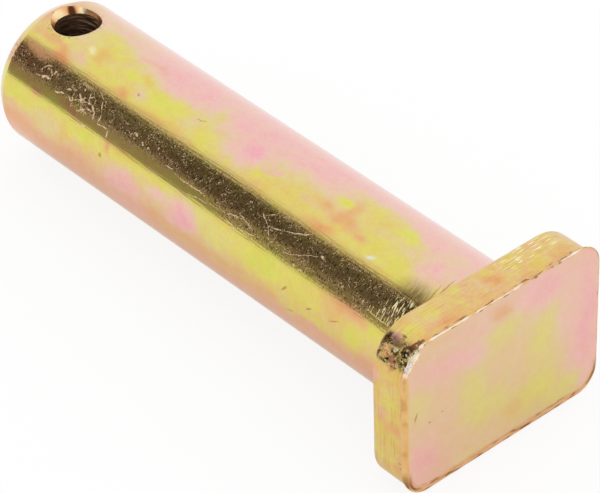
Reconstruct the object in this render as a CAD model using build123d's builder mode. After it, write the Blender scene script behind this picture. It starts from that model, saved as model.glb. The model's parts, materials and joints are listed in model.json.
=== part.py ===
"""Lower link pin: a round steel pin forged in one piece with an oblong head.

The pin couples a tractor's lower link to its bracket. The shank passes through the link's
ball, the seat under the head bears on the bracket, a flat side of the head lies against a
stop so that the pin can't turn, and a clip through the cross hole keeps it in.

Frame: X is the pin's axis and points from the free end to the head's outer face, Y runs
along the head's long side and Z along its short side, which is also the direction of the
cross hole. The origin is the centre of the seat under the head. All lengths are in mm.
"""

import os
from math import radians, tan

from build123d import *

# Shank
shank_diameter = 28.0
shank_length = 109.0  # from the seat to the tip
lead_length = 2.4  # the lead-in chamfer at the tip, along the axis
lead_angle = 30.0  # degrees, between the chamfer and the axis
lead_blend_radius = 0.8  # softens both edges of the chamfer

# Head
head_width = 44.0  # along Y
head_height = 31.5  # along Z
head_thickness = 8.0
body_corner_radius = 7.0  # from the seat up to the rim
rim_depth = 1.2  # the rim spreads at the corners, where the blow squeezed the steel out
face_corner_radius = 4.5  # of the rim, at the outer face
face_edge_radius = 0.4
seat_edge_radius = 1.0
root_fillet_radius = 0.6  # between the shank and the seat, which it leaves in one ring

# Cross hole for the retaining clip
hole_diameter = 8.0
hole_from_tip = 7.5
hole_mouth_diameter = 9.6
hole_mouth_angle = 60.0  # degrees, across the whole cone

shank_radius = shank_diameter / 2
tip_x = -shank_length
lead_depth = lead_length * tan(radians(lead_angle))
rim_x = head_thickness - rim_depth
corner_radii = ((0, body_corner_radius), (rim_x, body_corner_radius), (head_thickness, face_corner_radius))

with BuildPart() as link_pin:
    # The head is forged. One quarter of it is a block whose corner is cut back, evenly up to
    # the rim and less and less from there. Mirrored twice, it is the whole head.
    with BuildSketch(Plane.YZ):
        Rectangle(head_width / 2, head_height / 2, align=Align.MIN)
    extrude(amount=head_thickness)
    for x, radius in corner_radii:
        with BuildSketch(Plane.YZ.offset(x)):
            with Locations((head_width / 2 - radius, head_height / 2 - radius)):
                Rectangle(radius, radius, align=Align.MIN)
                Circle(radius, mode=Mode.SUBTRACT)
    loft(ruled=True, mode=Mode.SUBTRACT)
    mirror(about=Plane.XZ)
    mirror(about=Plane.XY)

    # The shank is turned: its half profile, from the tip to the seat, goes round the axis.
    with BuildSketch(Plane.XZ):
        with BuildLine():
            Polyline(
                (0, 0),
                (0, shank_radius),
                (tip_x + lead_length, shank_radius),
                (tip_x, shank_radius - lead_depth),
                (tip_x, 0),
                close=True,
            )
        make_face()
    revolve(axis=Axis.X)

    # The root fillet carries the shank's surface into the seat.
    round_edges = link_pin.edges().filter_by(GeomType.CIRCLE)
    root = round_edges.filter_by(lambda edge: edge.radius > shank_radius - lead_depth / 2)
    fillet(root.sort_by(Axis.X)[-1], root_fillet_radius)

    # The head's edges are rolled, the one at the seat more than the one at the outer face.
    outer_face = link_pin.faces().filter_by(Axis.X).sort_by(Axis.X)[-1]
    fillet(outer_face.edges(), face_edge_radius)
    seat = link_pin.faces().filter_by(Axis.X).sort_by(Axis.X)[-2]
    fillet(seat.outer_wire().edges(), seat_edge_radius)

    # The two edges of the lead-in chamfer are the circles nearest to the tip.
    lead_edges = link_pin.edges().filter_by(GeomType.CIRCLE).sort_by(Axis.X)[:2]
    fillet(lead_edges, lead_blend_radius)

    # The cross hole is drilled along Z and countersunk from both sides of the shank.
    for side in (1, -1):
        mouth = Plane(origin=(tip_x + hole_from_tip, 0, side * shank_radius), z_dir=(0, 0, side))
        with Locations(mouth):
            CounterSinkHole(
                radius=hole_diameter / 2,
                counter_sink_radius=hole_mouth_diameter / 2,
                depth=shank_diameter,
                counter_sink_angle=hole_mouth_angle,
            )

link_pin.part.label = "link_pin"

os.makedirs("parts", exist_ok=True)
export_step(link_pin.part, "parts/link_pin.step")
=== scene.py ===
import json
import math
import random

import bmesh
import bpy
from mathutils import Matrix, Vector, noise


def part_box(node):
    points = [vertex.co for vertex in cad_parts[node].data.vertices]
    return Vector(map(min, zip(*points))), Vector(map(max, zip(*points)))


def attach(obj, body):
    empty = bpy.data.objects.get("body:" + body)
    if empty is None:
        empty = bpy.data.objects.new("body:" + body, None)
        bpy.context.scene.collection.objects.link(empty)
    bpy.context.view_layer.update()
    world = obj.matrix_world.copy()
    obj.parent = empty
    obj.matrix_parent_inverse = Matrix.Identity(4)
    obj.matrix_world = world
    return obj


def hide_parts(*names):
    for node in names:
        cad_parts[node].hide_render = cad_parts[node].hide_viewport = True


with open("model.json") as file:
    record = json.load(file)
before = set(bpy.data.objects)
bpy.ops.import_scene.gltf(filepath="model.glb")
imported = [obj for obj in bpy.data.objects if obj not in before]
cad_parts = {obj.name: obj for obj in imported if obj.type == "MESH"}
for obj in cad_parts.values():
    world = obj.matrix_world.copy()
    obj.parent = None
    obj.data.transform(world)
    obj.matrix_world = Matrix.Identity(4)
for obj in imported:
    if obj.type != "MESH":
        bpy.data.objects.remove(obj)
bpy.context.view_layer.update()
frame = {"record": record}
print("frame loaded")

mm = 0.001
hair = 1e-7  # in metres, points nearer than this to a plane lie in it
skin = 0.01 * mm  # the same, for what lies on an end of the shank
weld = 0.001 * mm  # points nearer to each other than this become one
flatEnd, flatFace = 0.95, 0.97  # the least x of a normal on the pin's ends, and on its outer face

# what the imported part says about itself, in metres
mounts = {mount["name"]: mount for mount in frame["record"]["mounts"]}
boxLow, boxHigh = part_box("link_pin")
tipX, faceX = boxLow.x, boxHigh.x  # the seat under the head is at x = 0
halfWidth, halfHeight = boxHigh.y, boxHigh.z  # of the head
shankRadius = mounts["shank"]["dims"]["r_mm"] * mm
holeX = mounts["cross_hole"]["pos_m"][0]
holeRadius = mounts["cross_hole"]["dims"]["r_mm"] * mm
holeWall = mounts["cross_hole"]["dims"]["length_mm"] / 2 * mm


def chainOfPoints(bm, points, closed=False):
    verts = [bm.verts.new(point) for point in points]
    ends = list(zip(verts, verts[1:])) + ([(verts[-1], verts[0])] if closed else [])
    return [bm.edges.new(pair) for pair in ends]


def roundCorner(bm, point, tangent, segments):
    corner = min(bm.verts, key=lambda vert: (vert.co - Vector(point)).length)
    bmesh.ops.bevel(bm, geom=[corner], offset=tangent, offset_type="OFFSET", segments=segments,
                    profile=0.5, affect="VERTICES", material=-1)


def evenCuts(bm, edges, spacing):
    for edge in list(edges):
        cuts = round(edge.calc_length() / spacing) - 1
        if cuts > 0:
            bmesh.ops.subdivide_edges(bm, edges=[edge], cuts=cuts)


def edgesAt(bm, x):  # the edges in one plane across the pin
    return [edge for edge in bm.edges if all(abs(vert.co.x - x) < hair for vert in edge.verts)]


def looseObject(name, bm):
    mesh = bpy.data.meshes.new(name)
    bm.to_mesh(mesh)
    bm.free()
    obj = bpy.data.objects.new(name, mesh)
    bpy.context.scene.collection.objects.link(obj)
    return obj


def realised(obj):  # the object's mesh with its modifiers applied
    graph = bpy.context.evaluated_depsgraph_get()
    return bpy.data.meshes.new_from_object(obj.evaluated_get(graph))


def ease(value, low, high):  # 0 below low, 1 above high, smooth between
    share = min(max((value - low) / (high - low), 0), 1)
    return share * share * (3 - 2 * share)


# the shank is turned: a half profile from the tip to the seat goes round the axis
shank = {
    "leadLength": 2.4 * mm,
    "leadAngle": math.radians(30),
    "leadBlend": 0.8 * mm,
    "rootFillet": 0.6 * mm,
    "rootShare": 0.999,  # of the fillet's reach, which keeps its last point off the next one
    "rootSegments": 6,
    "blendSegments": 4,
    "steps": 256,
    "ringSpacing": 1.0 * mm,
}


def makeShank(bm):
    leadDepth = shank["leadLength"] * math.tan(shank["leadAngle"])
    profile = [
        (tipX, 0, 0),
        (tipX, 0, shankRadius - leadDepth),
        (tipX + shank["leadLength"], 0, shankRadius),
        (0, 0, shankRadius),
        (0, 0, shankRadius + shank["rootFillet"]),
    ]
    edges = chainOfPoints(bm, profile)
    evenCuts(bm, [edges[0], edges[2]], shank["ringSpacing"])
    blend, lean = shank["leadBlend"], shank["leadAngle"]
    roundCorner(bm, profile[3], shank["rootFillet"] * shank["rootShare"], shank["rootSegments"])
    roundCorner(bm, profile[2], blend * math.tan(lean / 2), shank["blendSegments"])
    roundCorner(bm, profile[1], blend * math.tan((math.pi / 2 - lean) / 2), shank["blendSegments"])
    bmesh.ops.spin(bm, geom=bm.verts[:] + bm.edges[:], cent=(0, 0, 0), axis=(1, 0, 0),
                   angle=math.tau, steps=shank["steps"], use_merge=True)
    bmesh.ops.remove_doubles(bm, verts=bm.verts[:], dist=weld)


# the head is forged: the blow squeezed its corners out into a rim at the outer face
head = {
    # corner radii, going round from the corner at the upper left of the outer face
    "bodyCorners": {(-1, 1): 7.6 * mm, (1, 1): 7.6 * mm, (1, -1): 7.0 * mm, (-1, -1): 6.4 * mm},
    "faceCorners": {(-1, 1): 4.6 * mm, (1, 1): 5.0 * mm, (1, -1): 4.5 * mm, (-1, -1): 4.8 * mm},
    "rimDepth": 1.2 * mm,
    "cornerSegments": 20,
    "straightFrom": 3 * mm,  # longer than any piece of a corner
    "longCuts": 60,
    "shortCuts": 40,
    "sideCuts": 17,
    "rimCuts": 3,
    "sidesFrom": 0.6 * mm,  # the edges that cross the sides start over this
    "leastRise": 0.05 * mm,  # of such an edge
    "faceSpacing": 1.2 * mm,
    "seatRoll": 1.0 * mm,
    # how far each edge of the outer face is rolled over
    "rollTop": 0.3 * mm,
    "rollBottom": 0.6 * mm,
    "rollLeft": 1.0 * mm,
    "rollRight": 0.8 * mm,
    "rollSegments": 6,
}
rimX = faceX - head["rimDepth"]


def headOutline(bm, x, corners):
    points = [(x, side * halfWidth, up * halfHeight) for side, up in corners]
    chainOfPoints(bm, points, closed=True)
    for point, radius in zip(points, corners.values()):
        roundCorner(bm, point, radius, head["cornerSegments"])
    for edge in edgesAt(bm, x):
        if edge.calc_length() > head["straightFrom"]:
            level = abs(edge.verts[0].co.z - edge.verts[1].co.z) < hair
            cuts = head["longCuts"] if level else head["shortCuts"]
            bmesh.ops.subdivide_edges(bm, edges=[edge], cuts=cuts)


def rollWidth(edge):
    a, b = (vert.co for vert in edge.verts)
    out = Vector((0, (b - a).z, -(b - a).y)).normalized()
    if out.dot(a + b) < 0:
        out.negate()
    return (head["rollTop"] * max(out.z, 0) ** 2 + head["rollBottom"] * max(-out.z, 0) ** 2
            + head["rollRight"] * max(out.y, 0) ** 2 + head["rollLeft"] * max(-out.y, 0) ** 2)


def makeHead():
    bm = bmesh.new()
    weight = bm.edges.layers.float.new("bevel_weight_edge")
    headOutline(bm, 0, head["bodyCorners"])
    headOutline(bm, rimX, head["bodyCorners"])
    headOutline(bm, faceX, head["faceCorners"])
    bmesh.ops.bridge_loops(bm, edges=edgesAt(bm, 0) + edgesAt(bm, rimX))
    bmesh.ops.bridge_loops(bm, edges=edgesAt(bm, rimX) + edgesAt(bm, faceX))
    widest = max(head["rollLeft"], head["seatRoll"])
    for edge in edgesAt(bm, 0):
        edge[weight] = head["seatRoll"] / widest
    for edge in edgesAt(bm, faceX):
        edge[weight] = rollWidth(edge) / widest
    bmesh.ops.contextual_create(bm, geom=edgesAt(bm, faceX))
    bmesh.ops.contextual_create(bm, geom=edgesAt(bm, 0))
    bmesh.ops.recalc_face_normals(bm, faces=bm.faces[:])
    obj = looseObject("head_block", bm)
    roll = obj.modifiers.new("roll", "BEVEL")
    roll.limit_method = "WEIGHT"
    roll.width = widest
    roll.segments = head["rollSegments"]
    roll.use_clamp_overlap = False
    mesh = realised(obj)
    bpy.data.objects.remove(obj)
    return mesh


def sliceFace(bm):  # the outer face gets inner points, to carry its tints
    for axis, half in ((1, halfWidth), (2, halfHeight)):
        count = int(half / head["faceSpacing"])
        for step in range(-count, count + 1):
            place, normal = Vector(), Vector()
            place[axis] = step * head["faceSpacing"]
            normal[axis] = 1
            faces = [face for face in bm.faces if face.calc_center_median().x > faceX - hair]
            parts = dict.fromkeys(part for face in faces for part in (*face.verts, *face.edges, face))
            bmesh.ops.bisect_plane(bm, geom=list(parts), dist=hair, plane_co=place, plane_no=normal)


# one corner of the head was hit and scraped: facets with pits between them, round one bump
worn = {
    "reachSeat": 5.2 * mm,  # how far the damage goes in from the corner, along y and z together
    "reachFace": 4.3 * mm,
    "bump": Vector((2.6, -18.7, 14.5)) * mm,
    "bumpRadius": 1.05 * mm,
    "bumpCore": 0.7,  # of the radius
    "along": (1.1, 0.9),  # how much a step along y and one along z count
    "full": 0.8,  # of the reach
    "fromSeat": (0.2 * mm, mm),
    "facet": 1.0 * mm,
    "depth": 0.45 * mm,
    "tilt": 1.6,
    "border": (0.02, 0.15),  # of a facet
    "borderDepth": 0.3,
    "spacing": 0.22 * mm,
    "passes": 3,
}


def wornShare(co):
    alongY, alongZ = worn["along"]
    inward = alongY * (co.y + halfWidth) + alongZ * (halfHeight - co.z)
    nearFace = ease(co.x, rimX - mm, faceX)
    reach = worn["reachSeat"] + (worn["reachFace"] - worn["reachSeat"]) * nearFace
    reach += worn["facet"] * noise.noise(co / worn["facet"] * 0.6)
    share = (1 - ease(inward, reach * worn["full"], reach)) * ease(co.x, *worn["fromSeat"])
    core = worn["bumpRadius"] * worn["bumpCore"]
    return share * ease((co - worn["bump"]).length, core, worn["bumpRadius"])


def facetDepth(co):  # tilted facets, deepest at their borders
    distances, points = noise.voronoi(co / worn["facet"])
    seed = noise.cell_vector(points[0] * 9.1)
    lean = (co / worn["facet"] - points[0]).dot(seed - Vector((0.5, 0.5, 0.5))) * worn["tilt"]
    border = 1 - ease(distances[1] - distances[0], *worn["border"])
    return min(max(0.5 * seed.x + lean + worn["borderDepth"] * border, 0), 1)


def wearCorner(mesh):
    bm = bmesh.new()
    bm.from_mesh(mesh)
    for _ in range(worn["passes"]):
        near = [face for face in bm.faces if face.calc_center_median().x > 0
                and wornShare(face.calc_center_median()) > 0]
        near = bmesh.ops.triangulate(bm, faces=near)["faces"]
        edges = dict.fromkeys(edge for face in near for edge in face.edges)
        edges = [edge for edge in edges if edge.calc_length() > worn["spacing"]]
        bmesh.ops.subdivide_edges(bm, edges=edges, cuts=1, use_grid_fill=True)
    bm.normal_update()
    for vert in bm.verts:
        share = wornShare(vert.co) if vert.co.x > 0 else 0
        if share > 0:
            vert.co -= vert.normal * share * worn["depth"] * facetDepth(vert.co)
            vert.co.x = min(vert.co.x, faceX)
    bm.to_mesh(mesh)
    bm.free()


def makePin():
    bm = bmesh.new()
    makeShank(bm)
    bm.from_mesh(makeHead())
    bm.normal_update()
    seatward = [face for face in bm.faces
                if face.normal.x < -flatEnd and face.calc_center_median().x > -mm]
    seat = max(seatward, key=lambda face: face.calc_area())
    bmesh.ops.delete(bm, geom=[seat], context="FACES_ONLY")
    openEdges = [edge for edge in bm.edges if len(edge.link_faces) == 1]
    bmesh.ops.triangle_fill(bm, edges=openEdges, use_beauty=True)
    sides, rim = (head["sidesFrom"], rimX, head["sideCuts"]), (rimX, faceX, head["rimCuts"])
    for start, end, cuts in (sides, rim):
        across = []
        for edge in bm.edges:
            low, high = sorted(vert.co.x for vert in edge.verts)
            atRim = min(abs(low - rimX), abs(high - rimX)) < hair
            if atRim and low > start - hair and high < end + hair and high - low > head["leastRise"]:
                across.append(edge)
        bmesh.ops.subdivide_edges(bm, edges=across, cuts=cuts, use_grid_fill=True)
    bmesh.ops.recalc_face_normals(bm, faces=bm.faces[:])
    sliceFace(bm)
    return bm


# the cross hole for the clip, drilled through and countersunk from both sides
hole = {
    "mouthRadius": 4.95 * mm,
    "mouthAngle": math.radians(60),
    "rise": 2 * mm,  # of the cutter above the shank
    "steps": 96,
    "chatterPitch": 0.3 * mm,
    "chatterDepth": 0.05 * mm,
    "seed": 9,
}


def drill(pin):
    bm = bmesh.new()
    flare = hole["rise"] * math.tan(hole["mouthAngle"] / 2)
    top = shankRadius + hole["rise"]
    half = [
        (holeX, 0, top),
        (holeX + hole["mouthRadius"] + flare, 0, top),
        (holeX + holeRadius, 0, holeWall),
        (holeX + holeRadius, 0, -holeWall),
        (holeX + hole["mouthRadius"] + flare, 0, -top),
        (holeX, 0, -top),
    ]
    edges = chainOfPoints(bm, half)
    evenCuts(bm, [edges[2]], hole["chatterPitch"])
    rng = random.Random(hole["seed"])
    for vert in bm.verts:
        if abs(vert.co.z) < holeWall - hair:
            vert.co.x += hole["chatterDepth"] * rng.random()
    bmesh.ops.spin(bm, geom=bm.verts[:] + bm.edges[:], cent=(holeX, 0, 0), axis=(0, 0, 1),
                   angle=math.tau, steps=hole["steps"], use_merge=True)
    bmesh.ops.remove_doubles(bm, verts=bm.verts[:], dist=weld)
    bmesh.ops.recalc_face_normals(bm, faces=bm.faces[:])
    cutter = looseObject("drill", bm)
    cut = pin.modifiers.new("hole", "BOOLEAN")
    cut.object = cutter
    cut.operation = "DIFFERENCE"
    cut.solver = "EXACT"
    mesh = realised(pin)
    pin.modifiers.clear()
    pin.data = mesh
    bpy.data.objects.remove(cutter)


sharpFrom = math.radians(32)  # edges bent more than this stay sharp
pin = looseObject("plated_link_pin", makePin())
drill(pin)
wearCorner(pin.data)
pin.data.shade_smooth()
pin.data.set_sharp_from_angle(angle=sharpFrom)
print("pin made", len(pin.data.vertices))


def toLinear(hexColour):
    channels = [int(hexColour[i:i + 2], 16) / 255 for i in (1, 3, 5)]
    return [c / 12.92 if c <= 0.04045 else ((c + 0.055) / 1.055) ** 2.4 for c in channels] + [1]


def addNode(tree, kind, inputs={}, output=0, **settings):  # gives the new node's output
    node = tree.nodes.new("ShaderNode" + kind)
    for name, value in settings.items():
        setattr(node, name, value)
    for key, value in inputs.items():
        if isinstance(value, bpy.types.NodeSocket):
            tree.links.new(value, node.inputs[key])
        else:
            node.inputs[key].default_value = value
    return node.outputs[output] if len(node.outputs) else node


def newMaterial(name):
    material = bpy.data.materials.new(name)
    material.use_nodes = True
    material.node_tree.nodes.clear()
    return material, material.node_tree


# the chromate film: 0 is a thin film, which is lime, then it goes through yellow and tan to
# pink, and 1 is a thick film. Where it dried slowly it is warmer, up to peach; on the shank's underside
# part of that warmth is painted shade.
film = {
    "tints": [(0.0, "#D2DA58"), (0.2, "#E2DA6E"), (0.45, "#E3D190"), (0.62, "#E9CAAA"),
              (0.8, "#F0C0B8"), (1.0, "#F2B0B8")],
    "warm": "#E6A26C",
    # round the shank: turn in degrees from +Y over +Z, film, warmth
    "bands": [
        (40, 0.8, 0), (80, 0.78, 0), (95, 0.62, 0), (106, 0.36, 0.12), (118, 0.25, 0.2),
        (126, 0.3, 0.4), (140, 0.4, 0.5), (149, 0.2, 0.42), (156, 0.2, 0.12), (166, 0.32, 0.15),
        # from 176 to 205 degrees the warmth is partly painted shade: it darkens the underside, which
        # mirrors the floor's shadow
        (176, 0.5, 0.34), (186, 0.62, 0.64), (205, 0.76, 0.74), (225, 0.6, 0.2), (250, 0.5, 0.1),
        (280, 0.3, 0), (310, 0.6, 0), (345, 0.35, 0.1), (375, 0.6, 0), (400, 0.8, 0),
    ],
    # stains on the shank: mm from the tip, turn, half length in mm, half width in degrees,
    # film, warmth
    "shankStains": [
        (16, 66, 8, 12, 0.6, 0.1), (5, 68, 4, 20, 0.55, 0.3), (37, 80, 10, 17, 0.86, 0),
        (56, 86, 7, 22, 0.84, 0), (69, 76, 9, 12, 0.84, 0), (47.3, 90, 2, 11, 0.45, 0),
        (18, 88, 6, 11, 0.28, 0.1), (24, 80, 2.2, 5, 0.68, 0), (28.5, 85, 3, 4, 0.8, 0.35),
        (22, 98, 7, 9, 0.25, 0.12), (19.3, 103, 1.8, 7, 0.28, 0.6), (24.2, 101, 1.4, 4.5, 0.62, 0.1),
        (30, 102, 2, 3, 0.25, 0.5), (26.5, 104, 3, 5, 0.12, 0), (3, 98, 2, 14, 0.5, 0.5),
        (8, 112, 5, 3, 0.45, 0.65), (5.5, 118, 3.5, 3, 0.22, 0.12), (11.3, 120, 2, 8, 0.45, 1.1),
        (14.7, 112, 2.4, 6, 0.62, 0.2), (22, 116, 4, 5, 0.22, 0.12), (27.8, 121, 1.6, 3.5, 0.35, 0.8),
        (31.5, 111, 2.3, 5, 0.68, 0.08), (38, 106, 6, 9, 0.12, 0), (38.5, 120, 4, 3, 0.25, 0.6),
        (43.5, 110, 1.8, 9, 0.5, 0.05), (48.5, 113, 3, 8, 0.15, 0), (56.5, 106, 5, 11, 0.76, 0),
        (58.3, 102, 1.7, 7, 0.98, 0), (62.5, 115, 1.4, 4, 0.12, 0.1), (71, 113, 6, 10, 0.24, 0.25),
        (66, 103, 1.6, 2.5, 0.85, 0.1), (64, 107, 1.5, 2, 0.8, 0.3), (74.5, 109, 3, 3, 0.5, 0.2),
        (85, 80, 7, 8, 0.35, 0.08), (88, 92, 6, 12, 0.25, 0.2), (94, 88, 3, 9, 0.1, 0),
        (91, 112, 6, 8, 0.2, 0.12), (83, 107, 4, 5, 0.45, 0.7), (81.8, 97, 1.6, 12, 0.45, 0.75),
        (77, 104, 2.6, 5, 0.5, 0.6), (80, 119.5, 3.6, 4.5, 0.35, 0.9), (87.8, 111, 1.3, 2.5, 0.5, 0.8),
        (79.5, 94, 2.2, 5, 0.15, 0), (97.8, 98, 2.4, 6, 0.5, 0.05), (97.5, 113, 2.4, 7, 0.16, 0.1),
        (103.8, 105, 3.4, 12, 0.86, 0.1), (103, 82, 4, 10, 0.66, 0), (6, 135, 7, 11, 0.5, 0.8),
        (20, 151, 2.6, 3, 0.5, 0.9), (30.2, 156, 0.8, 6, 0.5, 0.9), (11, 153, 1.5, 2.5, 0.45, 0.9),
        (6, 163, 5, 8, 0.12, 0.1), (14.5, 170, 4, 9, 0.5, 0.12), (19, 168, 0.9, 8, 0.35, 0.6),
        (24, 163, 5, 8, 0.13, 0.05), (22.9, 169, 1, 2.5, 0.5, 0.1), (36.5, 178, 5, 16, 0.9, 0.15),
        (45.5, 168, 3, 5, 0.72, 0.05), (52, 172, 4, 11, 0.97, 0.08), (61, 166, 6, 12, 0.38, 0.05),
        (73, 166, 9, 15, 0.14, 0.08), (83, 168, 6, 10, 0.2, 0.2), (93, 157, 5.5, 8, 0.5, 0.8),
        (91.5, 167, 3, 6, 0.35, 0.5), (96, 174, 3, 8, 0.1, 0.05), (98.5, 160, 1.5, 6, 0.15, 0.1),
        (85, 182, 14, 6, 0.22, 0.25), (66, 187, 9, 6, 0.35, 0.5), (50, 188, 7, 6, 0.45, 0.6),
        (36, 192, 6, 9, 0.8, 0.45), (88, 194, 12, 7, 0.72, 0.6),
    ],
    # stains on the outer face: y and z in mm, half width and half height in mm, film, warmth
    "faceStains": [
        (3, 12, 11, 3.4, 0.82, 0.05), (9.5, 11, 5, 4.5, 0.97, 0.1), (-1, 13, 2.2, 1.8, 0.6, 0.8),
        (-14, 9, 6, 3.5, 0.78, 0.2), (-8, 7, 4, 3, 0.88, 0.1), (18.8, 0, 3.4, 16, 0.95, 0.15),
        (14, 6, 4, 7, 0.75, 0.1), (-18, -9, 3.6, 5, 0.92, 0.2), (-13, -12, 5, 3, 0.7, 0.3),
        (0, 8, 4.5, 3.5, 0.34, 0.05), (-6, -1, 3.8, 7, 0.34, 0.06), (9, 2, 4, 7, 0.32, 0.06),
        (1, 0, 2.2, 3.4, 0.5, 0.15), (-19, 3, 3, 4, 0.42, 0.1), (-3, -6, 5, 3.8, 0.33, 0.06),
        (7, -9, 6, 5, 0.24, 0.1), (2.5, -9, 2, 1.8, 0.4, 0.4), (14, -12, 4, 3, 0.3, 0.05),
        (-8, -13, 5, 2, 0.5, 0.1),
    ],
    # stains on the head's sides: place in mm, reach in mm, film, warmth
    "sideStains": [
        ((4, -17, 16), 3.2, 0.2, 0.15), ((2.5, -12, 16), 3, 0.3, 0.2), ((6.5, -11, 16), 2.6, 0.45, 0.75),
        ((3.6, 1, 16), 2.4, 0.4, 0.8), ((2, 7, 16), 4, 0.35, 0.3), ((6, 10, 16), 3.5, 0.3, 0.25),
        ((1.5, -5, 16), 2, 0.24, 0.15),
        ((4.6, -22, 4), 3.4, 0.2, 0.2), ((5.5, -22, -1.5), 2.2, 0.3, 0.7), ((2, -22, 0), 2, 0.5, 0.4),
        ((3, -22, -7), 3, 0.3, 0.35), ((6.8, -22, -9), 2.2, 0.4, 0.7), ((1, -22, 8), 1.8, 0.7, 0.2),
    ],
    "stainShape": (1.1, 2.4),  # how fast a stain ends, and how sharply
    "ends": (0.5, 0.2),
    "endsWarp": 0.3,
    "face": (0.6, 0.22),
    "side": (0.42, 0.34),
    "sideWarp": 0.12,
    "sideShare": 0.9,  # of a stain there
    "leftSide": (-0.16, 0.06),  # is added there
    "warmRim": 0.2,
    "rimFrom": 4 * mm,  # under the outer face
    "rimTo": 0.5 * mm,
    "leftRim": 0.3,  # how much of the warm rim is left there
    "clouds": (2.9, 1.9, 0.8),  # in mm
    "stainWarp": 1.5 * mm,  # how far the outline of a stain wanders
    "warpSize": 6 * mm,
    "seed": 4,
}


def bandFilm(turn):
    turn = (turn - 40) % 360 + 40
    for (low, *start), (high, *end) in zip(film["bands"], film["bands"][1:]):
        if turn <= high:
            return Vector(start).lerp(Vector(end), ease(turn, low, high))
    return Vector(film["bands"][-1][1:])


def stained(value, stains, across, up):  # lays soft stains over a film, one after another
    fall, power = film["stainShape"]
    for midAcross, midUp, halfAcross, halfUp, *target in stains:
        reach = math.hypot((across - midAcross) / halfAcross, (up - midUp) / halfUp)
        if reach < 2:
            value = value.lerp(Vector(target), math.exp(-fall * reach ** power))
    return value


def filmAt(co, normal):  # thickness and warmth
    warp = noise.noise_vector(co / film["warpSize"]) * film["stainWarp"]
    warp += noise.noise_vector(co / film["warpSize"] * 2.7) * film["stainWarp"] * 0.5
    if co.x < skin and abs(normal.x) > flatEnd:  # the end face and the seat
        return Vector(film["ends"]) + film["endsWarp"] * warp.yz / film["stainWarp"]
    if co.x < skin:
        turn = math.degrees(math.atan2(co.z, co.y)) % 360
        turn += math.degrees(warp.y / shankRadius)
        fromTip = (co.x - tipX + warp.x) / mm
        return stained(bandFilm(turn), film["shankStains"], fromTip, turn)
    if normal.x > flatFace:
        onFace = (co + warp) / mm
        return stained(Vector(film["face"]), film["faceStains"], onFace.y, onFace.z)
    onSide = Vector(film["side"]) + film["sideWarp"] * warp.xy / film["stainWarp"]
    onSide += Vector(film["leftSide"]) * max(-normal.y, 0)
    for middle, reach, *target in film["sideStains"]:
        share = 1 - ease((co + warp / 2 - Vector(middle) * mm).length, reach * 0.3 * mm, reach * mm)
        onSide = onSide.lerp(Vector(target), share * film["sideShare"])
    rim = ease(co.x, faceX - film["rimFrom"], faceX - film["rimTo"])
    onSide.y += film["warmRim"] * rim * (1 - (1 - film["leftRim"]) * max(-normal.y, 0))
    return onSide


# the shank's upper front is sandy between two turns in degrees, and wider near the seat
grain = {
    "from": 122,
    "full": 129,
    "fade": 142,
    "to": 149,
    "widen": 6.5,
    "widenOver": 135,
    "widenFrom": 52 * mm,  # from the tip
    "widenTo": 64 * mm,
    "rest": 0.03,  # elsewhere
    "mouth": 0.5,
    "mouthReach": 1.05,  # in radii of the mouth
    "tipSkin": 0.05 * mm,
}


def grainAt(co):
    if math.hypot(co.x - holeX, co.y) < hole["mouthRadius"] * grain["mouthReach"] and co.z > 0:
        return grain["mouth"]
    if co.x < tipX + grain["tipSkin"] or co.x > -skin:
        return 0
    turn = math.degrees(math.atan2(co.z, co.y)) % 360
    if turn > grain["widenOver"]:
        turn -= grain["widen"] * ease(co.x - tipX, grain["widenFrom"], grain["widenTo"])
    sandy = ease(turn, grain["from"], grain["full"]) * (1 - ease(turn, grain["fade"], grain["to"]))
    return grain["rest"] + (1 - grain["rest"]) * sandy


def fromOutline(co):  # how far in from the outline of the outer face
    radius = head["faceCorners"][(math.copysign(1, co.y), math.copysign(1, co.z))]
    y, z = abs(co.y) - halfWidth + radius, abs(co.z) - halfHeight + radius
    return radius - (math.hypot(y, z) if y > 0 and z > 0 else max(y, z))


def tagPin(mesh):  # gives every point its film, warmth and grain, and how flaky it is
    noise.seed_set(film["seed"])  # the clock would set it otherwise
    rows = []
    for vert in mesh.vertices:
        co = vert.co
        flaky = wornShare(co) if co.x > 0 else 0
        inward = fromOutline(co) / mm if co.x > 0 else 0
        rows.append((*filmAt(co, vert.normal), grainAt(co), flaky, inward))
    for name, values in zip(("film", "warm", "grain", "flaky", "inward"), zip(*rows)):
        mesh.attributes.new(name, "FLOAT", "POINT").data.foreach_set("value", values)


def wrapUv(mesh):  # in mm, u runs along the pin and v round it, and on its ends the other way
    bm = bmesh.new()
    bm.from_mesh(mesh)
    wrap = bm.loops.layers.uv.new("wrap")
    for face in bm.faces:
        middle = face.calc_center_median()
        home = math.atan2(middle.y, middle.z)
        flat = abs(face.normal.x) > flatEnd and middle.x < skin
        for loop in face.loops:
            co = loop.vert.co
            out = math.hypot(co.y, co.z)
            turn = home
            if out > skin:
                turn += math.remainder(math.atan2(co.y, co.z) - home, math.tau)
            around = turn * shankRadius / mm
            loop[wrap].uv = (around, out / mm) if flat else (co.x / mm, around)
    bm.to_mesh(mesh)
    bm.free()


tagPin(pin.data)
wrapUv(pin.data)
print("pin tagged")


def join(tree, operation, first, *others):
    for other in others:
        first = addNode(tree, "Math", {0: first, 1: other}, operation=operation)
    return first


def rise(tree, value, low, high):  # 0 at low, 1 at high, smooth between
    flipped = low > high
    low, high = sorted((low, high))
    return addNode(tree, "MapRange", {"Value": value, "From Min": low, "From Max": high,
                                      "To Min": flipped, "To Max": not flipped},
                   interpolation_type="SMOOTHSTEP")


def tint(tree, colour, mask, hexColour):
    return addNode(tree, "Mix", {"Factor": mask, 6: colour, 7: toLinear(hexColour)}, output=2,
                   data_type="RGBA")


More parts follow.
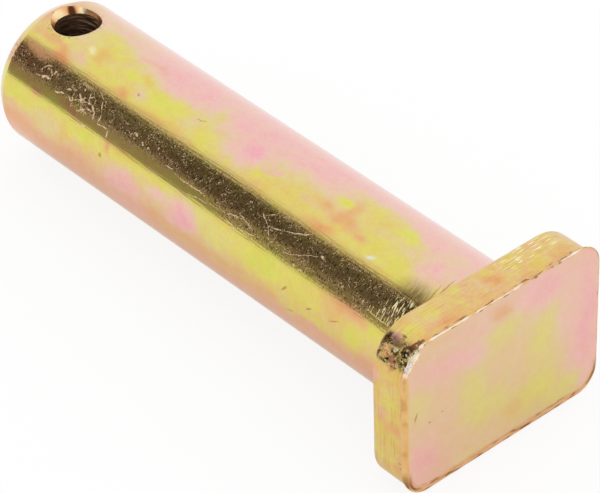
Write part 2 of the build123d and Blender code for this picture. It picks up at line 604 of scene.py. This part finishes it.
def colourRamp(tree, value, colours):
    ramp = addNode(tree, "ValToRGB", {0: value})
    stops = ramp.node.color_ramp.elements
    for (place, colour), stop in zip((colours[0], colours[-1]), stops):
        stop.position, stop.color = place, colour
    for place, colour in colours[1:-1]:
        stops.new(place).color = colour
    return ramp


def tintRamp(tree, value, tints):
    return colourRamp(tree, value, [(place, toLinear(hexColour)) for place, hexColour in tints])


def stretchedNoise(tree, coords, toTheMm, detail):  # coords in mm
    stretched = addNode(tree, "VectorMath", {0: coords, 1: (*toTheMm, 0)[:3]}, operation="MULTIPLY")
    return addNode(tree, "TexNoise", {"Vector": stretched, "Scale": 1, "Detail": detail})


def softEllipse(tree, coords, middle, half, lean=0, core=0.55):  # 1 inside, 0 outside
    local = addNode(tree, "Mapping", {"Vector": coords, "Location": (*middle, 0), "Rotation": (0, 0, lean),
                                      "Scale": (*half, 1)}, vector_type="TEXTURE")
    flat = addNode(tree, "VectorMath", {0: local, 1: (1, 1, 0)}, operation="MULTIPLY")
    reach = addNode(tree, "VectorMath", {0: flat}, output="Value", operation="LENGTH")
    return rise(tree, reach, 1, core)


def softBall(tree, coords, middle, radius, ragged=0):  # the same in space
    distance = addNode(tree, "VectorMath", {0: coords, 1: middle}, output="Value", operation="DISTANCE")
    return rise(tree, join(tree, "ADD", distance, ragged), radius, radius * 0.5)


def filmColour(tree, place, mottle):
    depth = addNode(tree, "Attribute", output="Fac", attribute_name="film")
    warmth = addNode(tree, "Attribute", output="Fac", attribute_name="warm")
    clouds = []
    for size in film["clouds"]:
        cloud = addNode(tree, "TexNoise", {"Vector": place, "Scale": 1 / size, "Detail": 2})
        clouds.append(join(tree, "MULTIPLY", join(tree, "SUBTRACT", cloud, 0.5), mottle))
    depth = join(tree, "ADD", depth, clouds[0], clouds[2])
    warmth = join(tree, "ADD", warmth, join(tree, "MULTIPLY", clouds[1], 1.6), clouds[2])
    return tint(tree, tintRamp(tree, depth, film["tints"]), warmth, film["warm"])


def makeFinish(name, paint):  # paint gets its place on the pin in mm
    material, tree = newMaterial(name)
    place = addNode(tree, "TexCoord", output="Object")
    place = addNode(tree, "VectorMath", {0: place, "Scale": 1 / mm}, operation="SCALE")
    colour, roughness, height, metallic = paint(tree, place)
    normal = addNode(tree, "Bump", {"Height": height, "Distance": mm, "Strength": 1})  # height is in mm
    surface = addNode(tree, "BsdfPrincipled", {"Base Color": colour, "Metallic": metallic,
                                               "Roughness": roughness, "Normal": normal})
    addNode(tree, "OutputMaterial", {"Surface": surface})
    return material


# scratches on the shank: mm from the tip, turn, length and width in mm, lean in degrees
scratches = {
    # pale scratches, and among them small dots that are painted glints
    "paleScratchesAndGlints": [
        (52.2, 146, 9.6, 0.22, 1), (46.3, 143.6, 2, 0.19, 0), (56, 150.6, 8.2, 0.17, -6),
        (63.2, 146.3, 6.8, 0.2, -11), (66.5, 144.6, 5.2, 0.18, 18), (69.8, 135, 3, 0.22, 30),
        (71.7, 141.5, 2.3, 0.18, 53), (72.8, 137, 3.7, 0.2, -12), (77.5, 130.7, 6.5, 0.22, -21),
        (70.6, 130.7, 2.6, 0.2, -27), (80, 142.5, 8.6, 0.15, -22), (72.3, 146.2, 1.2, 0.22, 25),
        (73.3, 145.7, 1.2, 0.22, -35), (63, 151.3, 3.2, 0.18, 11), (67, 151.2, 5.2, 0.18, -10),
        (64.8, 154, 1.3, 0.45, 10), (10.8, 141, 3.6, 0.54, -16), (16.2, 143.8, 2.7, 0.34, -14),
        (18.5, 137, 3.4, 0.22, -26), (23.2, 138.5, 2.2, 0.3, -12), (25, 140.3, 2, 0.3, 35),
        (25.8, 144.6, 1.9, 0.3, 80), (23, 145, 1.5, 0.3, -60), (24.3, 142.3, 2.1, 0.3, -5),
        (25.1, 128.4, 2.4, 0.2, 29), (26.6, 135.5, 2.6, 0.2, 61), (27.2, 143.5, 2, 0.22, 88),
        (21.3, 138, 2, 0.45, 40), (22, 142.5, 2.2, 0.3, 50), (28.6, 146.9, 3.2, 0.3, -2),
        (30.2, 149.5, 1.6, 0.3, 88), (23.8, 155.6, 2.7, 0.3, -16), (35.6, 138.5, 1.4, 0.19, -40),
        (36.5, 138.3, 0.9, 0.45, 20), (38.7, 140.6, 0.8, 0.45, 40), (40.3, 141.2, 0.9, 0.54, 0),
        (42.4, 137, 0.6, 0.3, 90), (84.2, 135.4, 1.2, 0.54, 10), (90.6, 145, 0.8, 0.45, 0),
        (95.7, 145, 1.2, 0.22, 90),
    ],
    # bare spots, where the film is thin or missing, each with its tint and share; the two at 127 and 128.5
    # degrees are painted light, lighter brown over the band's dark reflection near the tip
    "bareAndLitPatches": [(92.1, 117.2, 3, 1.3, -14, "#E9F0EC", 0.9), (16.4, 104.3, 4, 1.9, 20, "#F4E8B4", 0.8),
             (7, 127, 11, 3.6, 6, "#C48A5C", 0.75), (21.5, 128.5, 5, 1.2, 0, "#C4A07C", 0.5)],
    "rustAndSeatShade": [
        (30, 166.5, 0.9, 0.8, 90), (78.7, 171, 2, 0.5, -50), (84.8, 174, 1.6, 0.4, -40),
        (45.5, 102, 2.4, 0.25, -15), (91, 170, 3, 0.25, -25), (80, 187, 2, 0.3, -20),
        # the last three, across the shank by the seat, are painted shade where it meets the head
        (31.6, 113.2, 0.8, 0.5, 40), (106.4, 117, 6, 0.3, 88), (107.2, 109, 7, 0.3, 90),
        (105.7, 122, 3, 0.2, 86),
    ],
    "rustAndSeatShadeShare": 0.6,
    "curls": [(21.5, 139, 4.2, 3), (80, 149.5, 3.5, 0.9), (12, 136, 2.6, 1.6)],
    "curlSize": 1.7,
    # the tint of the pale scratches and of the painted glints
    "paleTint": "#ECCAAA",
    "rustAndSeatShadeTint": "#A8743C",
    # a torn film shows dull zinc; the painted glints, highlights and lit patches are dulled the same way,
    # so they read bright
    "dull": 0.5,
    "metal": 0.2,
}
# ground steel under a bright zinc film: a nearly sharp mirror, with sparse painted glints where it is
# sandy and painted highlights on the lathe's marks next to the seat
turned = {
    "roughness": 0.15,
    "mottle": 0.3,
    # lines to the mm, along and round, and heights in mm
    "sand": (3.2, 1.6),
    "sandHeight": 0.035,
    "pitShadeTint": "#4A3222",
    "paintedGlints": (3.0, 1.9),
    "paintedGlintShare": 0.75,
    "streak": (0.18, 2.6),
    "streakHeight": 0.017,
    "marks": (4.4, 0.5),
    "marksHeight": 0.06,
    "markGlintTint": "#FFF2B4",
    "pitShade": (0.5, 0.36),  # where the sand's noise turns into pits, painted dark as shade
    "pitShadeShare": 0.75,
    "marksFrom": (0.54, 0.62),
    "ripple": 0.3,  # how much of a zone of painted shade follows the marks
    # mm from the tip, turn, half length, half width in mm
    "markZones": [(103.5, 138, 4.2, 3.2), (100.5, 145.5, 4.2, 0.9)],
    # the same, with its soft core and its share
    # painted shade: next to the seat under the head, and darker stretches of the band's dark reflection
    "paintedShadeZones": [(104, 124, 6.5, 4.2, 0.1, 0.8), (62, 135.5, 24, 2.7, 0.5, 0.32),
                  (90, 141, 14, 3.2, 0.6, 0.2)],
}


def shankSpot(fromTip, turn):  # a place on the shank in the units of the wrap map
    return (tipX / mm + fromTip, math.radians(90 - turn) * shankRadius / mm)


def zoneMask(tree, wrap, zones, core):
    return join(tree, "MAXIMUM", *[softEllipse(tree, wrap, shankSpot(fromTip, turn), half, core=core)
                                   for fromTip, turn, *half in zones])


def scratchMask(tree, wrap, marks, core=0.8):
    masks = []
    for fromTip, turn, length, width, lean in marks:
        half = (length / 2, width / 2)
        masks.append(softEllipse(tree, wrap, shankSpot(fromTip, turn), half, -math.radians(lean), core))
    return join(tree, "MAXIMUM", *masks)


def turnedZinc(tree, place):
    wrap = addNode(tree, "UVMap", uv_map="wrap")
    colour = filmColour(tree, place, turned["mottle"])
    sandy = addNode(tree, "Attribute", output="Fac", attribute_name="grain")

    # each texture's height in mm, with the part of the shank where it is
    sand = stretchedNoise(tree, wrap, turned["sand"], 3)
    height = join(tree, "MULTIPLY", sand, sandy, turned["sandHeight"])
    # dark specks in the sand: painted shade, in the brown of the band's dark reflection
    pitShade = join(tree, "MULTIPLY", rise(tree, sand, *turned["pitShade"]), sandy, turned["pitShadeShare"])
    colour = tint(tree, colour, pitShade, turned["pitShadeTint"])
    streak = stretchedNoise(tree, wrap, turned["streak"], 2)
    height = join(tree, "ADD", height, join(tree, "MULTIPLY", streak, turned["streakHeight"]))
    marks = stretchedNoise(tree, wrap, turned["marks"], 1)
    nearSeat = zoneMask(tree, wrap, turned["markZones"], 0.75)
    height = join(tree, "ADD", height, join(tree, "MULTIPLY", marks, nearSeat, turned["marksHeight"]))
    # bright lines on the marks: painted highlights where their sides would catch the light
    cut = join(tree, "MULTIPLY", rise(tree, marks, *turned["marksFrom"]), nearSeat)
    rippled = join(tree, "MULTIPLY", rise(tree, marks, 0.6, 0.4), turned["ripple"])
    rippled = join(tree, "ADD", rippled, 1 - turned["ripple"])
    for *zone, core, share in turned["paintedShadeZones"]:
        dark = join(tree, "MULTIPLY", zoneMask(tree, wrap, [zone], core), rippled, share)
        colour = tint(tree, colour, dark, turned["pitShadeTint"])

    # scratches wander a little, curls are the borders of small cells, painted glints their middles
    wander = addNode(tree, "TexNoise", {"Vector": wrap, "Scale": 0.5, "Detail": 2}, output="Color")
    bent = addNode(tree, "VectorMath", {0: wander, 1: (0.5, 0.5, 0.5)}, operation="SUBTRACT")
    bent = addNode(tree, "VectorMath", {0: bent, 1: (0.9, 0.9, 0), 2: wrap}, operation="MULTIPLY_ADD")
    patchy = addNode(tree, "TexNoise", {"Vector": wrap, "Scale": 1.6, "Detail": 3})
    patchy = rise(tree, patchy, 0.3, 0.6)
    paleScratchesAndGlints = join(tree, "MULTIPLY", scratchMask(tree, bent, scratches["paleScratchesAndGlints"]), patchy)
    wild = addNode(tree, "TexNoise", {"Vector": wrap, "Scale": 0.9, "Detail": 2}, output="Color")
    wild = addNode(tree, "VectorMath", {0: wild, 1: (1.6, 1.6, 0), 2: wrap}, operation="MULTIPLY_ADD")
    border = addNode(tree, "TexVoronoi", {"Vector": wild, "Scale": 1 / scratches["curlSize"]},
                     feature="DISTANCE_TO_EDGE", voronoi_dimensions="2D")
    gaps = addNode(tree, "TexNoise", {"Vector": wrap, "Scale": 0.6, "Detail": 1})
    curls = join(tree, "MULTIPLY", rise(tree, border, 0.07, 0.03), rise(tree, gaps, 0.42, 0.5), patchy)
    curls = join(tree, "MULTIPLY", curls, zoneMask(tree, wrap, scratches["curls"], 0.7))
    paleScratchesAndGlints = join(tree, "MAXIMUM", paleScratchesAndGlints, curls)
    spread = addNode(tree, "VectorMath", {0: wild, 1: (*turned["paintedGlints"], 0)}, operation="MULTIPLY")
    paintedGlints = addNode(tree, "TexVoronoi", {"Vector": spread, "Scale": 1}, voronoi_dimensions="2D")
    scarce = addNode(tree, "TexNoise", {"Vector": wrap, "Scale": 0.7, "Detail": 2})
    paintedGlints = join(tree, "MULTIPLY", rise(tree, paintedGlints, 0.26, 0.12), rise(tree, scarce, 0.42, 0.6), sandy)
    paleScratchesAndGlints = join(tree, "MAXIMUM", paleScratchesAndGlints, join(tree, "MULTIPLY", paintedGlints, turned["paintedGlintShare"]))
    colour = tint(tree, colour, paleScratchesAndGlints, scratches["paleTint"])
    colour = tint(tree, colour, cut, turned["markGlintTint"])
    tornFilmAndPaintedLight = join(tree, "MAXIMUM", paleScratchesAndGlints, cut)
    for *spot, hexColour, share in scratches["bareAndLitPatches"]:
        bareAndLitPatches = join(tree, "MULTIPLY", scratchMask(tree, bent, [spot], 0), share)
        colour = tint(tree, colour, bareAndLitPatches, hexColour)
        tornFilmAndPaintedLight = join(tree, "MAXIMUM", tornFilmAndPaintedLight, bareAndLitPatches)
    rustAndSeatShade = join(tree, "MULTIPLY", scratchMask(tree, bent, scratches["rustAndSeatShade"]), scratches["rustAndSeatShadeShare"])
    colour = tint(tree, colour, rustAndSeatShade, scratches["rustAndSeatShadeTint"])
    ends = {"Value": tornFilmAndPaintedLight, "To Min": turned["roughness"], "To Max": scratches["dull"]}
    rough = addNode(tree, "MapRange", ends)
    metal = addNode(tree, "MapRange", {"Value": tornFilmAndPaintedLight, "To Min": 1, "To Max": scratches["metal"]})
    return colour, rough, height, metal


# what the head's edges show: a rim of thicker film round the outer face, with painted shade in its
# bottom band, along its upper edge a thin line of bright metal with dark bits under it, and worn facets
# painted light and dark with painted shade between them
rims = {
    # which side, from where to where in mm, how far the rim goes in, its two film colours, and
    # how much of it is frayed
    "bands": [("Y", -14, -20, 0.7, "#DFAE6C", "#E9BE82", 0.2),
              ("Y", 18, 20.5, 0.8, "#DE9A68", "#EBAF8C", 0.7),
              # the bottom band and its dark threads are partly painted shade along the bottom edge
              ("Z", -9, -13, 2.0, "#D29860", "#EDBE8C", 0.9)],
    # small nicks: the two axes they lie in, place, half sizes, lean
    "nicks": [("YZ", (-19.6, 1.4), (0.3, 1.3), -0.35), ("YZ", (-16.6, -1.3), (0.6, 0.16), -0.5),
              ("YZ", (-13.8, -0.6), (0.3, 0.2), 0), ("XZ", (6.7, -7.8), (0.6, 0.2), 0.3),
              ("XZ", (6.9, -8.8), (0.2, 0.5), 0.2)],
    "wobble": 0.6,
    "bitsTint": "#7A5230",
    "lineWidth": 0.15,
    "lineTint": "#F9EBDD",
    "lineFade": (1, 6, 11, 16),  # between these y in mm the line dims
    "lineDim": 0.75,
    "flakes": (1.5, 1.0, 3.4),  # to the mm
    "flakeLean": (0.6, 0.3, 0.4),
    "flakeHeight": 0.4,  # in mm
    "flakeLightAndShadeTints": [(0, "#4A3618"), (0.4, "#6E5826"), (0.65, "#A88C48"), (0.85, "#DDC67C"), (1, "#F8EBC0")],
    "gapShadeTint": "#35240F",
    # what lies over the flakes: place, radius in mm, tint, share, and how much it dulls the metal
    # the dark spots are painted shade in crevices, the pale ones that dull the metal painted highlights on
    # worn metal
    "tintShadeAndHighlightSpots": [
        ((0.9, -19.5, 13.8), 1.6, "#5A4420", 0.5, 0), ((2.1, -20.7, 12.6), 1.5, "#FFCB88", 0.75, 0),
        ((4.2, -21.2, 11.7), 1.3, "#F0B484", 0.55, 0), ((6.2, -18.7, 14.4), 0.9, "#643820", 0.8, 0),
        ((6.9, -17.6, 15.2), 0.9, "#643820", 0.8, 0), ((3.9, -18.1, 14.9), 0.5, "#6A4C28", 0.7, 0),
        ((2.6, -18.7, 14.6), 1.2, "#DCA392", 0.9, 0), ((7.9, -20.4, 14.3), 1.7, "#FFF4D2", 0.9, 0.75),
        ((7.8, -21.4, 12.8), 1.5, "#FFEDE4", 0.85, 0.75), ((7.9, -18.6, 15.5), 0.8, "#FFF6EC", 0.7, 0.75),
        ((7.9, -21.9, 11.2), 0.7, "#FFE6D6", 0.6, 0.75),
    ],
    "flakyMetal": 0.55,
    "spotWobble": 2.6,
    "darkSpecks": (2.5, 0.5, 0.5),  # to the mm
    "darkSpeckShare": 0.8,
    "nickShare": 0.6,
    "bandShare": 0.9,
}


def paintBands(tree, colour, axes, inward, under, cloud):
    wobble = join(tree, "MULTIPLY", join(tree, "SUBTRACT", cloud, 0.5), rims["wobble"] * 2)
    ragged = join(tree, "ADD", inward, wobble)
    nearFace = rise(tree, under, 1.4, 0.9)
    for axis, low, high, width, deepTint, paleTint, frayed in rims["bands"]:
        # streaks in a band run along it
        across = join(tree, "MULTIPLY", join(tree, "ADD", inward, under), 1.5)
        along = join(tree, "MULTIPLY", axes["Y" if axis == "Z" else "Z"], 0.3)
        route = addNode(tree, "CombineXYZ", {"X": across, "Y": along})
        fray = addNode(tree, "TexNoise", {"Vector": route, "Scale": 1, "Detail": 5})
        mask = join(tree, "MULTIPLY", rise(tree, ragged, width, width * 0.5), nearFace, rims["bandShare"])
        mask = join(tree, "MULTIPLY", mask, rise(tree, axes[axis], low, high))
        colour = tint(tree, colour, mask, deepTint)
        colour = tint(tree, colour, join(tree, "MULTIPLY", mask, rise(tree, fray, 0.4, 0.6)), paleTint)
        # dark threads; on the bottom band they are partly painted shade
        thread = join(tree, "MULTIPLY", rise(tree, fray, 0.47, 0.38), mask, frayed)
        colour = tint(tree, colour, thread, rims["bitsTint"])
    return colour


def paintNicks(tree, colour, axes, cloud):
    for plane, middle, half, lean in rims["nicks"]:
        flat = addNode(tree, "CombineXYZ", {"X": axes[plane[0]], "Y": axes[plane[1]]})
        there = softEllipse(tree, flat, middle, half, lean, core=0.2)
        side = rise(tree, axes["X"], 7.4, 7.8) if plane == "YZ" else rise(tree, axes["Y"], -21, -21.5)
        there = join(tree, "MULTIPLY", there, rims["nickShare"], side, rise(tree, cloud, 0.4, 0.5))
        colour = tint(tree, colour, there, rims["bitsTint"])
    return colour


def paintUpperEdge(tree, colour, place, axes, under):  # bits on the upper side, then the line
    below = join(tree, "SUBTRACT", halfHeight / mm, axes["Z"])
    shallow = join(tree, "MULTIPLY", rise(tree, below, 0.5, 0.3), rise(tree, under, 0.9, 0.5))
    # dark specks just under the upper edge
    darkSpecks = stretchedNoise(tree, place, rims["darkSpecks"], 4)
    darkSpecks = join(tree, "MULTIPLY", shallow, rise(tree, darkSpecks, 0.52, 0.62), rims["darkSpeckShare"])
    colour = tint(tree, colour, darkSpecks, rims["bitsTint"])
    slow = addNode(tree, "TexNoise", {"Vector": place, "Scale": 0.4, "Detail": 4})
    thin = join(tree, "MULTIPLY", join(tree, "SUBTRACT", 0.5, slow), rims["lineWidth"] * 5)
    fromEdge = join(tree, "ADD", join(tree, "MAXIMUM", below, under), thin)
    line = rise(tree, fromEdge, rims["lineWidth"] * 1.4, rims["lineWidth"] * 0.8)
    start, dim, bright, end = rims["lineFade"]
    faded = join(tree, "MULTIPLY", rise(tree, axes["Y"], start, dim), rise(tree, axes["Y"], end, bright))
    kept = join(tree, "SUBTRACT", 1, join(tree, "MULTIPLY", faded, rims["lineDim"]))
    return tint(tree, colour, join(tree, "MULTIPLY", line, kept), rims["lineTint"])


def paintFlakes(tree, colour, place):  # flakes of different tints, longer than they are wide, painted light and dark as their facets would mirror the studio, with painted shade in their gaps
    flaky = addNode(tree, "Attribute", output="Fac", attribute_name="flaky")
    bent = addNode(tree, "TexNoise", {"Vector": place, "Scale": 0.8, "Detail": 2}, output="Color")
    bent = addNode(tree, "VectorMath", {0: bent, 1: (1.2, 1.2, 1.2), 2: place}, operation="MULTIPLY_ADD")
    turns = {"Vector": bent, "Rotation": rims["flakeLean"], "Scale": rims["flakes"]}
    leaning = addNode(tree, "Mapping", turns)
    cells = addNode(tree, "TexVoronoi", {"Vector": leaning, "Scale": 1}, output="Color")
    ramp = tintRamp(tree, addNode(tree, "SeparateColor", {0: cells}), rims["flakeLightAndShadeTints"])
    gap = addNode(tree, "TexVoronoi", {"Vector": leaning, "Scale": 1}, feature="DISTANCE_TO_EDGE")
    flakes = tint(tree, ramp, join(tree, "MULTIPLY", rise(tree, gap, 0.1, 0.02), 0.7), rims["gapShadeTint"])
    shown = rise(tree, flaky, 0.05, 0.35)
    colour = addNode(tree, "Mix", {"Factor": shown, 6: colour, 7: flakes}, output=2, data_type="RGBA")
    crumbly = addNode(tree, "TexNoise", {"Vector": place, "Scale": 1.6, "Detail": 4})
    ragged = join(tree, "MULTIPLY", join(tree, "SUBTRACT", crumbly, 0.5), rims["spotWobble"])
    metal = join(tree, "SUBTRACT", 1, join(tree, "MULTIPLY", flaky, 1 - rims["flakyMetal"]))
    for middle, radius, hexColour, share, dulled in rims["tintShadeAndHighlightSpots"]:
        spot = join(tree, "MULTIPLY", softBall(tree, place, middle, radius, ragged), share)
        colour = tint(tree, colour, spot, hexColour)
        metal = join(tree, "SUBTRACT", metal, join(tree, "MULTIPLY", spot, dulled))
    relief = join(tree, "MULTIPLY", join(tree, "MINIMUM", gap, 0.25), flaky, rims["flakeHeight"])
    return colour, relief, join(tree, "MAXIMUM", metal, 0)


def paintEdges(tree, colour, place):
    axes = dict(zip("XYZ", addNode(tree, "SeparateXYZ", {0: place}).node.outputs))
    inward = addNode(tree, "Attribute", output="Fac", attribute_name="inward")
    under = join(tree, "SUBTRACT", faceX / mm, axes["X"])
    cloud = addNode(tree, "TexNoise", {"Vector": place, "Scale": 0.45, "Detail": 5})
    colour = paintBands(tree, colour, axes, inward, under, cloud)
    colour = paintNicks(tree, colour, axes, cloud)
    colour = paintUpperEdge(tree, colour, place, axes, under)
    return paintFlakes(tree, colour, place)


# forged steel under zinc: satin, with lines left by the trimming die and short dashes of painted highlight
# on the top
forged = {
    "roughness": 0.28,
    "mottle": 0.5,
    "lines": (3.6, 0.3),  # to the mm, across and along
    "lineHeight": 0.07,
    "lineTint": "#CF8B45",
    "lineShare": 0.4,
    "highlightDashes": (5.5, 0.7),
    "dashZone": ((2.4, 10.5), (3.2, 9)),  # x and y in mm
    "highlightDashTint": "#FFF3C8",
}


def forgedZinc(tree, place):
    wrap = addNode(tree, "UVMap", uv_map="wrap")
    colour = filmColour(tree, place, forged["mottle"])
    lines = stretchedNoise(tree, wrap, forged["lines"], 3)
    streaks = join(tree, "MULTIPLY", rise(tree, lines, 0.5, 0.7), forged["lineShare"])
    colour = tint(tree, colour, streaks, forged["lineTint"])
    # short bright dashes on the top: painted highlights
    highlightDashes = stretchedNoise(tree, wrap, forged["highlightDashes"], 0)
    zone = softEllipse(tree, place, *forged["dashZone"])
    highlightDashes = join(tree, "MULTIPLY", rise(tree, highlightDashes, 0.64, 0.7), zone)
    colour = tint(tree, colour, highlightDashes, forged["highlightDashTint"])
    colour, relief, metal = paintEdges(tree, colour, place)
    height = join(tree, "ADD", join(tree, "MULTIPLY", lines, forged["lineHeight"]), relief)
    return colour, forged["roughness"], height, metal


# the outer face was pressed flat by the die: an even satin under a slightly cloudy film
pressed = {
    "roughness": 0.34,
    "mottle": 0.22,
    "cloudy": 0.06,
    "cloudTint": "#E9DCCB",
    # in mm
    "grainSize": 0.6,
    "grainHeight": 0.008,
}


def pressedZinc(tree, place):
    colour = filmColour(tree, place, pressed["mottle"])
    colour = tint(tree, colour, pressed["cloudy"], pressed["cloudTint"])
    colour, relief, metal = paintEdges(tree, colour, place)
    height = addNode(tree, "TexNoise", {"Vector": place, "Scale": 1 / pressed["grainSize"], "Detail": 2})
    height = join(tree, "ADD", join(tree, "MULTIPLY", height, pressed["grainHeight"]), relief)
    return colour, pressed["roughness"], height, metal


# the bore keeps the drill's rings and a thick brown film, and its rings get painted highlights where the
# light reaches them
drilled = {
    "roughness": 0.35,
    "tint": "#6E5440",
    "metal": 0.6,
    "rings": (0.3, 0.3, 1.9),  # to the mm
    "ringHeight": 0.5,  # in mm
    "ringHighlightTint": "#F0CFA4",
    "ringSpot": ((1.0, 3.3, 9.8), 4.8),  # from the hole's axis, where the light reaches them
}


def drilledZinc(tree, place):
    rings = stretchedNoise(tree, place, drilled["rings"], 2)
    middle, radius = drilled["ringSpot"]
    lit = softBall(tree, place, Vector(middle) + Vector((holeX / mm, 0, 0)), radius)
    bright = join(tree, "MULTIPLY", lit, rise(tree, rings, 0.5, 0.62))
    colour = tint(tree, toLinear(drilled["tint"]), bright, drilled["ringHighlightTint"])
    height = join(tree, "MULTIPLY", rings, drilled["ringHeight"])
    return colour, drilled["roughness"], height, drilled["metal"]


# the countersink is orange, with painted highlights on bright spots and a painted dark reflection
mouth = {
    "roughness": 0.3,
    "tint": "#F0B47C",
    "brightTint": "#FFE6B4",
    "paintedDarkReflectionTint": "#5A3220",
    # x and y from the hole's axis in mm, half sizes, lean
    # the bright spots are painted highlights, the dark one a painted reflection
    "bright": [((-3.8, -0.8), (1.6, 2.1), 0), ((-2.6, 3.6), (1.5, 1.0), 0)],
    "paintedDarkReflection": [((-3.7, 1.9), (1.3, 1.0), 0)],
    # in mm
    "waveSize": 1.25,
    "waveHeight": 0.15,
}


def countersunkZinc(tree, place):
    fromHole = addNode(tree, "VectorMath", {0: place, 1: (holeX / mm, 0, 0)}, operation="SUBTRACT")
    colour = toLinear(mouth["tint"])
    for key in ("bright", "paintedDarkReflection"):
        masks = [softEllipse(tree, fromHole, *spot, core=0.4) for spot in mouth[key]]
        colour = tint(tree, colour, join(tree, "MAXIMUM", *masks), mouth[key + "Tint"])
    height = addNode(tree, "TexNoise", {"Vector": place, "Scale": 1 / mouth["waveSize"], "Detail": 1})
    return colour, mouth["roughness"], join(tree, "MULTIPLY", height, mouth["waveHeight"]), 1


finishes = {
    "turned_yellow_zinc": turnedZinc,
    "forged_yellow_zinc": forgedZinc,
    "pressed_yellow_zinc": pressedZinc,
    "drilled_yellow_zinc": drilledZinc,
    "countersunk_yellow_zinc": countersunkZinc,
}
boreSkin, mouthSkin = 0.08 * mm, 0.03 * mm  # how far off the bore and under the shank's surface


def finishAt(face):
    middle = face.center
    fromHole = math.hypot(middle.x - holeX, middle.y)
    if middle.x > 0:
        return pressedZinc if face.normal.x > flatFace else forgedZinc
    if fromHole < holeRadius + boreSkin and abs(middle.z) < holeWall:
        return drilledZinc
    sunk = math.hypot(middle.y, middle.z) < shankRadius - mouthSkin
    return countersunkZinc if sunk and fromHole < hole["mouthRadius"] * 1.1 else turnedZinc


def dressPin(pin):
    pin.data.materials.clear()
    for name, paint in finishes.items():
        pin.data.materials.append(makeFinish(name, paint))
    order = list(finishes.values())
    for face in pin.data.polygons:
        face.material_index = order.index(finishAt(face))


dressPin(pin)
print("pin dressed")

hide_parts("link_pin")
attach(pin, "root")


studio = {
    # a light table, which lifts the shadow
    "floorGlow": {"Is Camera Ray": 0.86, "Is Glossy Ray": 0.34, "Is Transmission Ray": 0.8},
    "flagDistance": 600 * mm,
    "flagReach": (-1.6, 0.1),  # along the pin, in metres
    "flagHeight": 1.5,
    # how bright the flag is at each height, in degrees over the horizon as the pin sees it
    "flagStops": [(0, 1.0), (1.0, 1.0), (2.2, 0.3), (20, 0.33), (25, 0.15), (48, 0.14), (56, 0.17),
                  (60, 0.35), (63, 0.68), (67, 0.94), (72, 1.0), (90, 1.0)],
    "floorReach": 3,  # in metres
    "floorGap": 0.0001 * mm,
}
restTilt = math.atan2(halfHeight - shankRadius, -tipX - shank["leadLength"])
floorUp = Vector((math.sin(restTilt), 0, math.cos(restTilt)))


def makeSheet(name, half, turn, axis, middle):
    bm = bmesh.new()
    bmesh.ops.create_grid(bm, x_segments=1, y_segments=1, size=1)
    bmesh.ops.scale(bm, verts=bm.verts[:], vec=(*half, 1))
    bmesh.ops.rotate(bm, verts=bm.verts[:], matrix=Matrix.Rotation(turn, 3, axis))
    bmesh.ops.translate(bm, verts=bm.verts[:], vec=middle)
    return looseObject(name, bm)


def makeFloor():
    reach, drop = studio["floorReach"], halfHeight + studio["floorGap"]
    floor = makeSheet("studio_floor", (reach, reach), restTilt, "Y", (0, 0, -drop))
    material, tree = newMaterial("white_table")
    lit = addNode(tree, "BsdfDiffuse", {"Color": (1, 1, 1, 1)})
    glow = addNode(tree, "Emission")
    share = 0
    for ray, glowShare in studio["floorGlow"].items():
        seen = addNode(tree, "LightPath", output=ray)
        share = join(tree, "MAXIMUM", join(tree, "MULTIPLY", seen, glowShare), share)
    surface = addNode(tree, "MixShader", {0: share, 1: lit, 2: glow})
    addNode(tree, "OutputMaterial", {"Surface": surface})
    floor.data.materials.append(material)


def makeFlag():
    low, high = studio["flagReach"]
    halfUp = studio["flagHeight"] / 2
    middle = ((low + high) / 2, -studio["flagDistance"], halfUp)
    flag = makeSheet("dark_flag", ((high - low) / 2, halfUp), math.pi / 2, "X", middle)
    material, tree = newMaterial("black_felt")
    place = addNode(tree, "TexCoord", output="Object")
    height = addNode(tree, "SeparateXYZ", {0: place}, output="Z")
    angle = addNode(tree, "Math", {0: height, 1: studio["flagDistance"]}, operation="ARCTAN2")
    share = join(tree, "DIVIDE", angle, math.pi / 2)
    greys = [(degrees / 90, (grey, grey, grey, 1)) for degrees, grey in studio["flagStops"]]
    glow = addNode(tree, "Emission", {"Color": colourRamp(tree, share, greys)})
    addNode(tree, "OutputMaterial", {"Surface": glow})
    flag.data.materials.append(material)
    for ray in ("camera", "diffuse", "shadow", "transmission"):
        setattr(flag, "visible_" + ray, False)


makeFloor()
makeFlag()

world = bpy.data.worlds.new("white_tent")
bpy.context.scene.world = world
world.use_nodes = True
world.node_tree.nodes.clear()
sky = addNode(world.node_tree, "Background", {"Color": (1, 1, 1, 1), "Strength": 1})
addNode(world.node_tree, "OutputWorld", {"Surface": sky})
print("studio ready")

view = {
    "target": Vector((-40.2, -1.63, -1.32)) * mm,
    "azimuth": math.radians(49.56),
    "elevation": math.radians(38.46),
    "roll": math.radians(-1.06),
    "distance": 610.9 * mm,
    "lens": 215.1,
}
level = math.cos(view["elevation"])
back = Vector((math.sin(view["azimuth"]) * level, -math.cos(view["azimuth"]) * level,
               math.sin(view["elevation"])))
right = floorUp.cross(back).normalized()
up = back.cross(right)
cameraData = bpy.data.cameras.new("camera")
cameraData.lens = view["lens"]
camera = bpy.data.objects.new("camera", cameraData)
facing = Matrix((right, up, back)).transposed().to_4x4() @ Matrix.Rotation(view["roll"], 4, "Z")
camera.matrix_world = Matrix.Translation(view["target"] + back * view["distance"]) @ facing
bpy.context.scene.collection.objects.link(camera)
bpy.context.scene.camera = camera

bpy.context.scene.view_settings.view_transform = "Standard"
